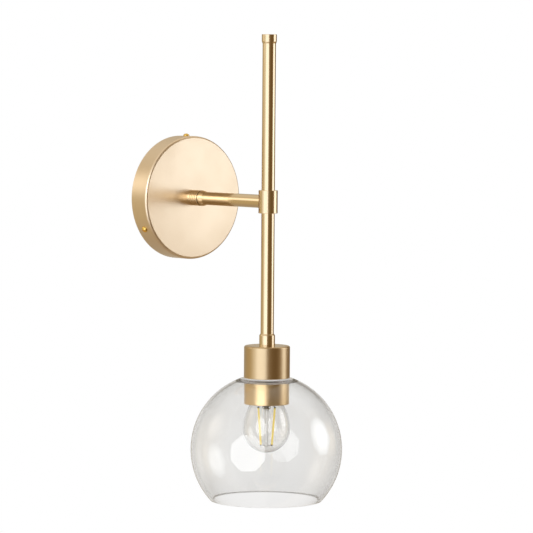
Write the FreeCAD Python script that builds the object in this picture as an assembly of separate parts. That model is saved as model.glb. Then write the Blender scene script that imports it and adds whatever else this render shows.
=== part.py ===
import FreeCAD, Part
import math
import os

from FreeCAD import Vector

# A wall sconce: a round wall cover, a level arm, an upright rod held in a tee, and a globe shade under
# the rod. The origin is the centre of the wall plate's back. The wall is the plane y = 0, and the sconce
# stands out along -Y.

# wall plate
plate_thickness = 1.5
plate_hub_radius = 34.0
plate_arm_width = 16.0
plate_tab_length = 17.0
plate_edge_radius = 58.6
cable_hole_radius = 9.0
wall_slot_spacing = 52.0
wall_slot_width = 5.0
wall_slot_length = 12.0

# wall cover and its three screws
cover_radius = 60.0
cover_depth = 22.0
cover_wall = 1.2
cover_edge_radius = 2.4
screw_angles = {"cover_screw_top": 90.0, "cover_screw_left": 210.0, "cover_screw_right": 330.0}
screw_setback = 10.5
screw_radius = 1.95
screw_hole_radius = 2.0
screw_head_radius = 3.1
screw_head_height = 2.2
screw_head_gap = 0.15
screw_length = 8.0

# hollow threaded nipples, with a little less than the size of the holes they screw into
nipple_radius = 4.98
nipple_bore = 3.6
thread_hole = 5.0
clear_hole = 5.1
nut_across_flats = 14.0
nut_thickness = 3.0
washer_radius = 9.0
washer_thickness = 1.0

# arm, from the cover to the upright rod
rod_reach = 131.5
tube_radius = 6.35
tube_fit = 0.02
collar_radius = 7.6
collar_length = 12.8
collar_groove_count = 4
collar_groove_depth = 0.45
collar_groove_width = 0.9
ferrule_length = 7.0
ferrule_radius = 7.5

# tee, upright rod and its end pieces
tee_radius = 9.15
tee_half_height = 10.9
nipple_grip = 5.2
nipple_length = 17.0
cap_top = 158.4
cap_height = 8.6
cap_radius = 7.15
cap_shoulder = 1.8
stem_ferrule_top = -125.5
stem_ferrule_radius = 7.55
stem_ferrule_shoulder = 1.5
stem_ferrule_recess = 5.5

# cup over the lampholder
cup_top = -136.9
cup_bottom = -167.5
cup_radius = 21.9
cup_wall = 1.0
cup_edge_radius = 1.6

# lampholder
holder_top = -142.1
holder_joint = -158.0
holder_core_top = -154.0
holder_core_bottom = -160.0
holder_bottom = -188.5
holder_cap_radius = 19.0
skirt_radius = 19.75
skirt_bore = 14.6
skirt_thread_pitch = 2.5
skirt_thread_depth = 0.5
core_radius = 16.9
core_seat = 17.2
shell_inner = 13.55
shell_outer = 14.4
terminal_offset = 6.5
terminal_length = 7.2
rivet_radius = 1.2

# shade, its two soft washers and the ring nut that holds it up
shade_washer_thickness = 0.8
shade_radius = 72.3
shade_centre = -235.9
shade_wall = 2.5
shade_rim = -285.0
shade_neck_hole = 20.3
shade_neck_thickness = 3.4
shade_neck_fillet = 14.0
shade_lip_radius = 0.4
ring_height = 20.2
ring_outer = 21.35
ring_inner = 19.85
ring_edge_radius = 0.5

# bulb
bulb_tip = -164.0
bulb_bottom = -239.3
bulb_radius = 22.5
bulb_wall = 0.8
bulb_neck_radius = 12.4
bulb_flare_radius = 4.0
bulb_shoulder_radius = 47.0
bulb_neck_top = -185.0
bulb_base_bottom = -187.2
bulb_thread_pitch = 3.63
bulb_thread_crest = 13.15
bulb_thread_root = 12.35
bulb_base_wall = 0.35
filament_radius = 0.9
filament_top = -195.5
filament_bottom = -233.0
filament_spread_top = 7.9
filament_spread_bottom = 5.2
filament_turn = -41.6

# wires
wire_radius = 1.0
wire_offset = 1.3
wire_plane = -6.0
terminal_block_size = Vector(33.0, 12.0, 14.0)
terminal_block_top = -20.0
terminal_pitch = 11.0
terminal_bore = 1.6
terminal_insert = 2.6
terminal_screw_radius = 1.5
earth_screw_height = 24.0
eyelet_thickness = 0.7

# worked out from the sizes above
down = Vector(0, 0, -1)
up = Vector(0, 0, 1)
outward = Vector(0, -1, 0)
wallward = Vector(0, 1, 0)
rod_axis = Vector(0, -rod_reach, 0)
cover_face = -cover_depth
collar_end = cover_face - collar_length
shade_top = cup_bottom - shade_washer_thickness
shade_neck_bottom = shade_top - shade_neck_thickness
ring_top = shade_neck_bottom - shade_washer_thickness
bulb_centre = bulb_bottom + bulb_radius


def save(node, *solids):
    """Writes the solids of one node, and prints its volume."""
    shape = solids[0] if len(solids) == 1 else Part.makeCompound(list(solids))
    shape.exportStep(os.path.join("parts", node + ".step"))
    state = "valid" if shape.isValid() else "INVALID"
    print(node, len(shape.Solids), "solid(s)", round(shape.Volume, 1), "mm3", state)


def on_rod(height):
    """The point of the upright rod's axis at this height."""
    return rod_axis + Vector(0, 0, height)


def bar(radius, start, end):
    return Part.makeCylinder(radius, (end - start).Length, start, end - start)


def tube(outer, inner, start, end):
    return bar(outer, start, end).cut(bar(inner, start, end))


def turned(edges, base, direction=up):
    """Turns a closed outline about the local Z axis, then stands it at base along direction."""
    face = Part.Face(Part.Wire(Part.__sortEdges__(edges)))
    solid = face.revolve(Vector(0, 0, 0), Vector(0, 0, 1), 360)
    solid.Placement = FreeCAD.Placement(base, FreeCAD.Rotation(Vector(0, 0, 1), direction))
    return solid


def outline(points):
    """The straight edges of a closed outline, from (radius, height) pairs."""
    corners = [Vector(radius, 0, height) for radius, height in points]
    return [Part.LineSegment(a, b).toShape() for a, b in zip(corners, corners[1:] + corners[:1])]


def turned_on_rod(points):
    return turned(outline(points), rod_axis)


def rounded_edges(solid, radius, chosen):
    """Rounds the edges that the test picks out."""
    return solid.makeFillet(radius, [edge for edge in solid.Edges if chosen(edge)])


def circle_at(position, radius, along):
    """A test for the round edge of this radius whose centre stands at position along an axis."""
    def chosen(edge):
        curve = edge.Curve
        if not isinstance(curve, Part.Circle):
            return False
        return abs(curve.Center.dot(along) - position) < 0.01 and abs(curve.Radius - radius) < 0.01
    return chosen


def hex_nut(base, direction):
    """A plain hexagon nut with a threaded hole."""
    corner = nut_across_flats / math.sqrt(3)
    corners = [Vector(corner * math.cos(a), corner * math.sin(a), 0) for a in sixths()]
    prism = Part.Face(Part.makePolygon(corners + corners[:1])).extrude(Vector(0, 0, nut_thickness))
    nut = prism.cut(Part.makeCylinder(thread_hole, nut_thickness))
    nut.Placement = FreeCAD.Placement(base, FreeCAD.Rotation(Vector(0, 0, 1), direction))
    return nut


def sixths():
    return [math.radians(60 * step) for step in range(6)]


def washer(base, direction):
    return tube(washer_radius, clear_hole, base, base + direction * washer_thickness)


def nipple(start, end):
    return tube(nipple_radius, nipple_bore, start, end)


def spoke(angle):
    """The direction in the wall's plane at this angle, counted from +X towards +Z."""
    return Vector(math.cos(math.radians(angle)), 0, math.sin(math.radians(angle)))


def wall_slots():
    """The two slots for the wall screws, as solids to cut away."""
    half_width = wall_slot_width / 2
    straight = wall_slot_length - wall_slot_width
    slots = []
    for side in (-1, 1):
        centre = Vector(side * wall_slot_spacing / 2, 1, 0)
        ends = [centre + Vector(step * straight / 2, 0, 0) for step in (-1, 1)]
        slot = Part.makeBox(straight, 4, wall_slot_width, ends[0] + Vector(0, -4, -half_width))
        for end in ends:
            slot = slot.fuse(Part.makeCylinder(half_width, 4, end, outward))
        slots.append(slot)
    return slots


def plate_arm(angle):
    """One flat arm of the wall plate, with the tab that is folded out at its end."""
    reach = plate_edge_radius
    half_width = plate_arm_width / 2
    arm = Part.makeBox(reach, plate_thickness, plate_arm_width, Vector(0, -plate_thickness, -half_width))
    tab_base = Vector(reach - plate_thickness - 0.3, -plate_tab_length, -half_width)
    tab = Part.makeBox(plate_thickness + 0.3, plate_tab_length, plate_arm_width, tab_base)
    arm = arm.fuse(tab)
    arm.rotate(Vector(0, 0, 0), Vector(0, 1, 0), -angle)
    return arm


def wall_plate():
    plate = Part.makeCylinder(plate_hub_radius, plate_thickness, Vector(0, 0, 0), outward)
    for angle in screw_angles.values():
        plate = plate.fuse(plate_arm(angle))
    plate = plate.common(Part.makeCylinder(plate_edge_radius, plate_tab_length, Vector(0, 0, 0), outward))
    plate = plate.cut(Part.makeCylinder(cable_hole_radius, 6, Vector(0, 1, 0), outward))
    for slot in wall_slots():
        plate = plate.cut(slot)
    for angle in screw_angles.values():
        axis = Vector(0, -screw_setback, 0)
        plate = plate.cut(bar(screw_hole_radius, axis + spoke(angle) * 50, axis + spoke(angle) * 62))
    earth_place = Vector(0, 0, earth_screw_height)
    earth_hole = bar(terminal_screw_radius, earth_place + wallward, earth_place - wallward * 5)
    return plate.cut(earth_hole).removeSplitter()


def wall_cover():
    """The round cover, open to the wall, with a hole for the nipple and three for its screws."""
    shell = Part.makeCylinder(cover_radius, cover_depth, Vector(0, 0, 0), outward)
    shell = rounded_edges(shell, cover_edge_radius, circle_at(cover_face, cover_radius, wallward))
    inside_radius = cover_radius - cover_wall
    inside = Part.makeCylinder(inside_radius, cover_depth - cover_wall, Vector(0, 0, 0), outward)
    inner_edge = circle_at(cover_face + cover_wall, inside_radius, wallward)
    inside = rounded_edges(inside, cover_edge_radius - cover_wall, inner_edge)
    shell = shell.cut(inside)
    shell = shell.cut(bar(clear_hole, Vector(0, 0, 0), Vector(0, cover_face - 1, 0)))
    for angle in screw_angles.values():
        axis = Vector(0, -screw_setback, 0)
        shell = shell.cut(bar(screw_hole_radius + 0.2, axis + spoke(angle) * 55, axis + spoke(angle) * 62))
    return shell


def cover_screw(angle):
    """A domed screw that points at the cover's axis, with a slot across its head."""
    seat = cover_radius + screw_head_gap
    crown = screw_head_height
    flank = 0.5
    dome_rise = crown - flank
    dome_radius = (screw_head_radius ** 2 + dome_rise ** 2) / (2 * dome_rise)
    half_turn = math.asin(screw_head_radius / dome_radius) / 2
    dome_centre = crown - dome_radius
    foot = Vector(0, 0, -screw_length)
    points = [foot, Vector(screw_radius, 0, -screw_length), Vector(screw_radius, 0, 0),
              Vector(screw_head_radius, 0, 0), Vector(screw_head_radius, 0, flank)]
    edges = [Part.LineSegment(a, b).toShape() for a, b in zip(points, points[1:])]
    middle = Vector(dome_radius * math.sin(half_turn), 0, dome_centre + dome_radius * math.cos(half_turn))
    top = Vector(0, 0, crown)
    edges.append(Part.Arc(points[-1], middle, top).toShape())
    edges.append(Part.LineSegment(top, foot).toShape())
    base = Vector(0, -screw_setback, 0) + spoke(angle) * seat
    screw = turned(edges, Vector(0, 0, 0))
    slot = Part.makeBox(8, 0.8, 1, Vector(-4, -0.4, crown - 0.8))
    screw = screw.cut(slot)
    screw.Placement = FreeCAD.Placement(base, FreeCAD.Rotation(Vector(0, 0, 1), spoke(angle)))
    return screw


def arm_collar():
    """The grooved collar between the cover and the arm tube."""
    start = Vector(0, cover_face, 0)
    end = Vector(0, collar_end, 0)
    collar = tube(collar_radius, thread_hole, start, end)
    pitch = collar_length / (collar_groove_count + 1)
    for step in range(1, collar_groove_count + 1):
        middle = cover_face - step * pitch
        near = Vector(0, middle + collar_groove_width / 2, 0)
        far = Vector(0, middle - collar_groove_width / 2, 0)
        collar = collar.cut(tube(collar_radius + 1, collar_radius - collar_groove_depth, near, far))
    return collar


def arm_ferrule():
    """The ring round the tube's end, with a narrow neck behind it and a long chamfer before it."""
    inner = tube_radius + tube_fit
    neck = 0.5
    points = [(inner, 0), (inner + 0.5, 0), (inner + 0.5, neck), (ferrule_radius, neck),
              (ferrule_radius, neck + 2), (inner + 0.1, ferrule_length), (inner, ferrule_length)]
    return turned(outline(points), Vector(0, collar_end, 0), outward)


def arm_tube():
    """The arm's tube, its end hollowed to sit against the round tee."""
    tee = bar(tee_radius + tube_fit, on_rod(-tee_half_height), on_rod(tee_half_height))
    return tube(tube_radius, thread_hole, Vector(0, collar_end, 0), rod_axis).cut(tee)


def tee():
    body = bar(tee_radius, on_rod(-tee_half_height), on_rod(tee_half_height))
    body = body.cut(bar(thread_hole, on_rod(-tee_half_height), on_rod(tee_half_height)))
    return body.cut(bar(thread_hole, rod_axis, rod_axis + wallward * (tee_radius + 1)))


def top_cap():
    """The cap on the upper tube: a shouldered thimble with a spigot inside the tube."""
    recess = tube_radius + tube_fit
    top = cap_top
    foot = cap_top - cap_height
    ceiling = cap_top - 1.5
    points = [(0, top), (cap_radius - 0.3, top), (cap_radius, top - 0.3), (cap_radius, foot + cap_shoulder),
              (recess + 0.1, foot), (recess, foot), (recess, ceiling), (nipple_radius, ceiling),
              (nipple_radius, foot - 3), (0, foot - 3)]
    return turned_on_rod(points)


def stem_ferrule():
    """The shouldered piece that the lower tube stands in, on top of the cup."""
    recess = tube_radius + tube_fit
    top = stem_ferrule_top
    floor = top - stem_ferrule_recess
    points = [(recess, top), (recess + 0.15, top), (stem_ferrule_radius, top - stem_ferrule_shoulder),
              (stem_ferrule_radius, cup_top), (thread_hole, cup_top), (thread_hole, floor), (recess, floor)]
    return turned_on_rod(points)


def socket_cup():
    cup = bar(cup_radius, on_rod(cup_bottom), on_rod(cup_top))
    cup = rounded_edges(cup, cup_edge_radius, circle_at(cup_top, cup_radius, up))
    cup = rounded_edges(cup, 0.4, circle_at(cup_bottom, cup_radius, up))
    inner_top = cup_top - cup_wall - 0.2
    cup = cup.cut(bar(cup_radius - cup_wall, on_rod(cup_bottom - 1), on_rod(inner_top)))
    return cup.cut(bar(clear_hole, on_rod(inner_top - 1), on_rod(cup_top + 1)))


def lampholder_cap():
    """The moulded cap that screws onto the nipple and roofs the wire terminals."""
    points = [(thread_hole, holder_top), (8, holder_top), (8, holder_top - 2.9),
              (holder_cap_radius, holder_top - 5.9), (holder_cap_radius, holder_joint),
              (core_seat, holder_joint), (core_seat, holder_top - 7.4),
              (7, holder_top - 5.2), (thread_hole, holder_top - 5.2)]
    return turned_on_rod(points)


def lampholder_skirt():
    """The moulded skirt round the screw shell, with the thread for the ring nut on its outside."""
    points = [(core_seat, holder_joint), (skirt_radius, holder_joint),
              (skirt_radius, holder_bottom + 0.6), (skirt_radius - 0.6, holder_bottom),
              (skirt_bore, holder_bottom), (skirt_bore, holder_core_bottom), (core_seat, holder_core_bottom)]
    skirt = turned_on_rod(points)
    turns = int((cup_bottom - holder_bottom) / skirt_thread_pitch)
    for turn in range(turns):
        crest = cup_bottom - 1 - turn * skirt_thread_pitch
        valley = crest - skirt_thread_pitch / 2
        groove = [(skirt_radius + 0.2, crest - 0.4), (skirt_radius - skirt_thread_depth, valley),
                  (skirt_radius + 0.2, crest - skirt_thread_pitch + 0.4)]
        skirt = skirt.cut(turned_on_rod(groove))
    return skirt


def rivet_places():
    """The rivets through the core: the live one on the left, the neutral one on the right."""
    return {"live": on_rod(0) + Vector(-8.0, 0, 0), "neutral": on_rod(0) + Vector(12.6, 0, 0)}


def lampholder_core():
    core = bar(core_radius, on_rod(holder_core_bottom), on_rod(holder_core_top))
    for place in rivet_places().values():
        hole = bar(rivet_radius + 0.05, place + up * holder_core_bottom, place + up * holder_core_top)
        core = core.cut(hole)
    return core


def screw_shell():
    """The metal shell that the bulb screws into, with its flange and rivet."""
    top = holder_core_bottom
    flange = 0.6
    points = [(11, top), (shell_outer, top), (shell_outer, top - 26), (shell_inner, top - 26),
              (shell_inner, top - flange), (11, top - flange)]
    place = rivet_places()["neutral"]
    rivet = bar(rivet_radius, place + up * (top - flange), place + up * holder_core_top)
    return turned_on_rod(points).fuse(rivet).removeSplitter()


def contact_tongue():
    """The springy strip that meets the bulb's tip, with its rivet."""
    top = holder_core_bottom
    tip = bulb_tip + 0.3
    strip = 0.4
    side = [(-10.0, top), (-6.5, top), (-2.0, tip + strip), (2.5, tip + strip),
            (2.5, tip), (-2.2, tip), (-6.7, top - strip), (-10.0, top - strip)]
    corners = [on_rod(height) + Vector(x, -2.5, 0) for x, height in side]
    tongue = Part.Face(Part.makePolygon(corners + corners[:1])).extrude(Vector(0, 5, 0))
    place = rivet_places()["live"]
    rivet = bar(rivet_radius, place + up * (top - strip), place + up * holder_core_top)
    return tongue.fuse(rivet).removeSplitter()


def holder_terminals():
    """The two brass blocks on the core, each with a hole for its wire and one for its screw."""
    blocks = []
    screws = []
    wire_height = holder_core_top + 2
    for side in (-1, 1):
        near = min(side * terminal_offset, side * (terminal_offset + terminal_length))
        block = Part.makeBox(terminal_length, 5, 3.8, on_rod(holder_core_top) + Vector(near, -2.5, 0))
        wire_way = on_rod(wire_height) + Vector(side * (terminal_offset - 1), 0, 0)
        block = block.cut(bar(wire_radius + 0.1, wire_way, wire_way + Vector(side * 6, 0, 0)))
        screw_foot = on_rod(wire_height + wire_radius + 0.05) + Vector(side * (terminal_offset + 3), 0, 0)
        block = block.cut(bar(1.25, screw_foot + down, screw_foot + up * 3))
        blocks.append(block)
        screws.append(bar(1.2, screw_foot, screw_foot + up * 1.6))
    return blocks, screws


def shade_washer(top):
    return tube(22.4, shade_neck_hole, on_rod(top - shade_washer_thickness), on_rod(top))


def globe_shade():
    """The clear globe: a thick flat neck that thins into the round wall, and an open rim."""
    inner_radius = shade_radius - shade_wall
    outer = Part.makeSphere(shade_radius, on_rod(shade_centre))
    inner = Part.makeSphere(inner_radius, on_rod(shade_centre))
    slab = bar(shade_radius + 5, on_rod(shade_rim), on_rod(shade_top))
    hollow = bar(shade_radius + 5, on_rod(shade_rim), on_rod(shade_neck_bottom))
    hollow = rounded_edges(inner.common(hollow), shade_neck_fillet, edge_at_height(shade_neck_bottom))
    glass = outer.common(slab).cut(hollow)
    glass = glass.cut(bar(shade_neck_hole, on_rod(shade_neck_bottom - 5), on_rod(shade_top + 1)))
    glass = rounded_edges(glass, shade_lip_radius, edge_at_height(shade_rim))
    return rounded_edges(glass, 1.5, shoulder_edge)


def edge_at_height(height):
    """A test for the round edges that lie level at this height."""
    def chosen(edge):
        box = edge.BoundBox
        return box.ZLength < 0.01 and abs(box.ZMin - height) < 0.01
    return chosen


def shoulder_edge(edge):
    """Picks the outer edge of the shade's flat top."""
    return edge_at_height(shade_top)(edge) and edge.BoundBox.XLength > 2.2 * shade_neck_hole


def shade_ring():
    bottom = ring_top - ring_height
    ring = bar(ring_outer, on_rod(bottom), on_rod(ring_top))
    ring = rounded_edges(ring, ring_edge_radius, lambda edge: edge.BoundBox.ZLength < 0.01)
    return ring.cut(bar(ring_inner, on_rod(bottom - 1), on_rod(ring_top + 1)))


def bulb_profile(inset):
    """Edges from the neck's top to the lowest point, moved inwards by inset."""
    flare = bulb_flare_radius + inset
    shoulder = bulb_shoulder_radius - inset
    ball = bulb_radius - inset
    neck = bulb_neck_radius - inset
    shoulder_centre = Vector(bulb_radius - bulb_shoulder_radius, 0, bulb_centre)
    across = bulb_neck_radius + bulb_flare_radius - shoulder_centre.x
    rise = math.sqrt((bulb_flare_radius + bulb_shoulder_radius) ** 2 - across ** 2)
    flare_centre = Vector(bulb_neck_radius + bulb_flare_radius, 0, bulb_centre + rise)
    to_flare = math.atan2(rise, across)
    meet = shoulder_centre + Vector(math.cos(to_flare), 0, math.sin(to_flare)) * shoulder
    flare_mid = flare_centre - Vector(math.cos(to_flare / 2), 0, math.sin(to_flare / 2)) * flare
    shoulder_mid = shoulder_centre + Vector(math.cos(to_flare / 2), 0, math.sin(to_flare / 2)) * shoulder
    ball_mid = Vector(math.cos(math.pi / 4), 0, -math.sin(math.pi / 4)) * ball + Vector(0, 0, bulb_centre)
    neck_end = Vector(neck, 0, flare_centre.z)
    equator = Vector(ball, 0, bulb_centre)
    pole = Vector(0, 0, bulb_centre - ball)
    return [
        Part.LineSegment(Vector(neck, 0, bulb_neck_top), neck_end).toShape(),
        Part.Arc(neck_end, flare_mid, meet).toShape(),
        Part.Arc(meet, shoulder_mid, equator).toShape(),
        Part.Arc(equator, ball_mid, pole).toShape(),
    ]


def bulb_body(inset):
    """The bulb's outline as a full solid, moved inwards by inset."""
    edges = bulb_profile(inset)
    top = Vector(0, 0, bulb_neck_top)
    edges.append(Part.LineSegment(Vector(0, 0, bulb_centre - bulb_radius + inset), top).toShape())
    edges.append(Part.LineSegment(top, Vector(bulb_neck_radius - inset, 0, bulb_neck_top)).toShape())
    return turned(edges, rod_axis)


def bulb_base():
    """The bulb's metal screw base, its thread drawn as level rounds."""
    start = bulb_tip - 7.5
    turns = 4
    outside = [(9.6, bulb_tip - 5.2), (bulb_thread_root, start)]
    for turn in range(turns):
        crest = start - (turn + 0.5) * bulb_thread_pitch
        outside.append((bulb_thread_crest, crest + 0.5))
        outside.append((bulb_thread_crest, crest - 0.5))
        outside.append((bulb_thread_root, crest - bulb_thread_pitch / 2))
    outside.append((bulb_neck_radius + 0.5, bulb_base_bottom + 0.8))
    outside.append((bulb_neck_radius + 0.6, bulb_base_bottom))
    edge_radius = bulb_neck_radius + 0.12
    shelf = bulb_neck_top + 0.3
    inside = [(edge_radius, bulb_base_bottom), (edge_radius, shelf)]
    inside += [(bulb_thread_root - bulb_base_wall, shelf), (bulb_thread_root - bulb_base_wall, start)]
    inside.append((9.6 - bulb_base_wall, bulb_tip - 5.2 - bulb_base_wall))
    return turned_on_rod(outside + inside)


def bulb_insulator():
    """The dark glass cone between the tip and the screw base."""
    top = bulb_tip - 1.2
    points = [(0, top), (5.2, top), (9.2, bulb_tip - 5.2), (9.2, bulb_tip - 5.6), (0, bulb_tip - 5.6)]
    return turned_on_rod(points)


def bulb_contact():
    points = [(0, bulb_tip), (3.6, bulb_tip), (4.6, bulb_tip - 0.6), (4.6, bulb_tip - 1.2),
              (0, bulb_tip - 1.2)]
    return turned_on_rod(points)


def bulb_stem():
    """The clear glass stem: a flared foot in the neck and a thin rod down to the filaments' ends."""
    foot = bulb_neck_top - 2
    neck = bulb_neck_radius - bulb_wall - 0.1
    points = [(0, foot), (neck, foot), (neck, foot - 1), (4.5, foot - 5), (2.6, foot - 9),
              (1.7, foot - 13), (1.5, filament_bottom - 1), (0, filament_bottom - 1)]
    return turned_on_rod(points)


def filament_points(side):
    """The upper and lower end of one filament's axis."""
    across = Vector(math.cos(math.radians(filament_turn)), math.sin(math.radians(filament_turn)), 0)
    top = on_rod(filament_top) + across * (side * filament_spread_top)
    bottom = on_rod(filament_bottom) + across * (side * filament_spread_bottom)
    return top, bottom


def filaments():
    return [bar(filament_radius, *filament_points(side)) for side in (-1, 1)]


def filament_leads():
    """Stiff wires from the stem to the upper and the lower end of each filament."""
    leads = []
    for side in (-1, 1):
        top, bottom = filament_points(side)
        root = on_rod(bulb_neck_top - 9)
        top_side = (top - on_rod(filament_top)).normalize()
        leads.append(bar(0.25, root + top_side * 3.6, top + up * 0.35))
        tip_side = (bottom - on_rod(filament_bottom)).normalize()
        tip = on_rod(filament_bottom + 0.6)
        reach = filament_spread_bottom - filament_radius - 0.1
        leads.append(bar(0.2, tip + tip_side * 1.6, tip + tip_side * reach))
    return leads


def driver_board():
    """The small circuit board that stands inside the screw base."""
    return Part.makeBox(15, 1, 13, on_rod(bulb_neck_top + 0.5) + Vector(-7.5, -0.5, -0.3))


def smooth_path(points, bend):
    """Straight runs joined by tangent arcs, each of the bend radius or what its two runs allow."""
    edges = []
    last = points[0]
    for before, corner, after in zip(points, points[1:], points[2:]):
        into = (corner - before).normalize()
        out = (after - corner).normalize()
        turn = into.getAngle(out)
        shorter = min((corner - before).Length, (after - corner).Length)
        radius = min(bend, 0.45 * shorter / math.tan(turn / 2))
        cut = radius * math.tan(turn / 2)
        start = corner - into * cut
        end = corner + out * cut
        inward = (out - into).normalize()
        middle = corner + inward * (radius / math.cos(turn / 2) - radius)
        edges.append(Part.LineSegment(last, start).toShape())
        edges.append(Part.Arc(start, middle, end).toShape())
        last = end
    edges.append(Part.LineSegment(last, points[-1]).toShape())
    return Part.Wire(edges)


def wire(points, bend):
    """A round wire along the points."""
    path = smooth_path(points, bend)
    start = Part.Circle(points[0], points[1] - points[0], wire_radius).toShape()
    solid = path.makePipeShell([Part.Wire([start])], True, False)
    full = path.Length * math.pi * wire_radius ** 2
    print("wire length", round(path.Length, 1), "filled", round(solid.Volume / full, 4))
    return solid


def mains_wire(side):
    """From the terminal block through the arm, the tee and the lower tube to the lampholder."""
    terminal_x = side * terminal_pitch
    offset = side * wire_offset
    end_height = holder_core_top + 2
    points = [
        Vector(terminal_x, wire_plane, terminal_block_top - 7),
        Vector(terminal_x, wire_plane, -10),
        Vector(offset, wire_plane, 0),
        Vector(offset, -rod_reach, 0),
        Vector(offset, -rod_reach, end_height),
        Vector(side * (terminal_offset + 5), -rod_reach, end_height),
    ]
    return wire(points, 4.5)


def earth_wire():
    """From the middle terminal round to the earth screw on the plate."""
    points = [
        Vector(0, wire_plane, terminal_block_top - 7),
        Vector(0, wire_plane, -14.5),
        Vector(9, -3.2, -8),
        Vector(15, -3.2, 4),
        Vector(10, -3.2, 17),
        Vector(4.3, -3.2, earth_screw_height - 1),
    ]
    return wire(points, 6)


def terminal_block():
    """The block with its brass inserts and their screws: three poles side by side."""
    size = terminal_block_size
    corner = Vector(-size.x / 2, -plate_thickness - size.y, terminal_block_top - size.z)
    block = Part.makeBox(size.x, size.y, size.z, corner)
    inserts = []
    screws = []
    front = corner.y
    for pole in (-1, 0, 1):
        bottom = Vector(pole * terminal_pitch, wire_plane, corner.z)
        top = bottom + up * size.z
        insert = tube(terminal_insert, terminal_bore, bottom, top)
        block = block.cut(bar(terminal_insert, bottom, top))
        for height in (3.5, size.z - 3.5):
            foot = Vector(bottom.x, wire_plane - wire_radius - 0.05, corner.z + height)
            head = Vector(bottom.x, front + 0.8, corner.z + height)
            mouth = Vector(bottom.x, front - 1, head.z)
            way = bar(terminal_screw_radius + 0.05, foot + wallward * 0.5, mouth)
            block = block.cut(way)
            insert = insert.cut(way)
            screws.append(bar(terminal_screw_radius, foot, head))
        inserts.append(insert)
    return block, inserts, screws


def earth_eyelet():
    """The eyelet under the earth screw, with a flat tail that the wire's end lies on."""
    centre = Vector(0, -plate_thickness, earth_screw_height)
    eye = tube(3.4, 1.6, centre, centre + outward * eyelet_thickness)
    tail_corner = Vector(2.5, -plate_thickness - eyelet_thickness, earth_screw_height - 4)
    tail = Part.makeBox(5, eyelet_thickness, 4.5, tail_corner)
    return eye.fuse(tail).removeSplitter()


def earth_screw():
    base = Vector(0, -plate_thickness - eyelet_thickness, earth_screw_height)
    shank = bar(terminal_screw_radius, Vector(0, 0, earth_screw_height), base)
    head = bar(3.0, base, base + outward * 2)
    slot = Part.makeBox(7, 1, 0.8, base + Vector(-3.5, -2.1, -0.4))
    return shank.fuse(head).cut(slot).removeSplitter()


def save_wall_side():
    save("wall_plate", wall_plate())
    save("wall_cover", wall_cover())
    for name, angle in screw_angles.items():
        save(name, cover_screw(angle))
    block, inserts, screws = terminal_block()
    save("terminal_block", block)
    save("terminal_block_inserts", *inserts)
    save("terminal_block_screws", *screws)
    save("earth_eyelet", earth_eyelet())
    save("earth_screw", earth_screw())
    inside_face = Vector(0, cover_face + cover_wall, 0)
    save("cover_lock_washer", washer(inside_face, wallward))
    save("cover_locknut", hex_nut(inside_face + wallward * washer_thickness, wallward))
    save("cover_nipple", nipple(Vector(0, -13, 0), Vector(0, collar_end - 8, 0)))


def save_arm_and_rod():
    save("arm_collar", arm_collar())
    save("arm_ferrule", arm_ferrule())
    save("arm_tube", arm_tube())
    nipple_start = rod_axis + wallward * nipple_grip
    save("arm_end_nipple", nipple(nipple_start, nipple_start + wallward * nipple_length))
    save("tee", tee())
    save("upper_nipple", nipple(on_rod(nipple_grip), on_rod(nipple_grip + nipple_length)))
    save("lower_nipple", nipple(on_rod(-nipple_grip - nipple_length), on_rod(-nipple_grip)))
    save("upper_tube", tube(tube_radius, thread_hole, on_rod(tee_half_height), on_rod(cap_top - 1.5)))
    save("top_cap", top_cap())
    lower_end = stem_ferrule_top - stem_ferrule_recess
    save("lower_tube", tube(tube_radius, thread_hole, on_rod(lower_end), on_rod(-tee_half_height)))
    save("stem_ferrule", stem_ferrule())
    save("stem_nipple", nipple(on_rod(holder_top - 5), on_rod(stem_ferrule_top + 8)))


def save_lampholder():
    inside_top = on_rod(cup_top - cup_wall - 0.2)
    save("socket_cup", socket_cup())
    save("cup_lock_washer", washer(inside_top, down))
    save("cup_locknut", hex_nut(inside_top + down * washer_thickness, down))
    save("lampholder_cap", lampholder_cap())
    save("lampholder_skirt", lampholder_skirt())
    save("lampholder_core", lampholder_core())
    save("lampholder_screw_shell", screw_shell())
    save("lampholder_contact_tongue", contact_tongue())
    blocks, screws = holder_terminals()
    save("lampholder_terminals", *blocks)
    save("lampholder_terminal_screws", *screws)


def save_shade_and_bulb():
    save("upper_shade_washer", shade_washer(cup_bottom))
    save("glass_shade", globe_shade())
    save("lower_shade_washer", shade_washer(shade_neck_bottom))
    save("shade_ring", shade_ring())
    save("bulb_contact", bulb_contact())
    save("bulb_insulator", bulb_insulator())
    save("bulb_base", bulb_base())
    save("bulb_driver_board", driver_board())
    save("bulb_glass", bulb_body(0).cut(bulb_body(bulb_wall)))
    save("bulb_stem", bulb_stem())
    save("bulb_filaments", *filaments())
    save("bulb_filament_leads", *filament_leads())


def save_wires():
    save("live_wire", mains_wire(-1))
    save("neutral_wire", mains_wire(1))
    save("earth_wire", earth_wire())


os.makedirs("parts", exist_ok=True)
save_wall_side()
save_arm_and_rod()
save_lampholder()
save_shade_and_bulb()
save_wires()
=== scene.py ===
import math

import bmesh
import bpy
from mathutils import Matrix, Vector


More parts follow.
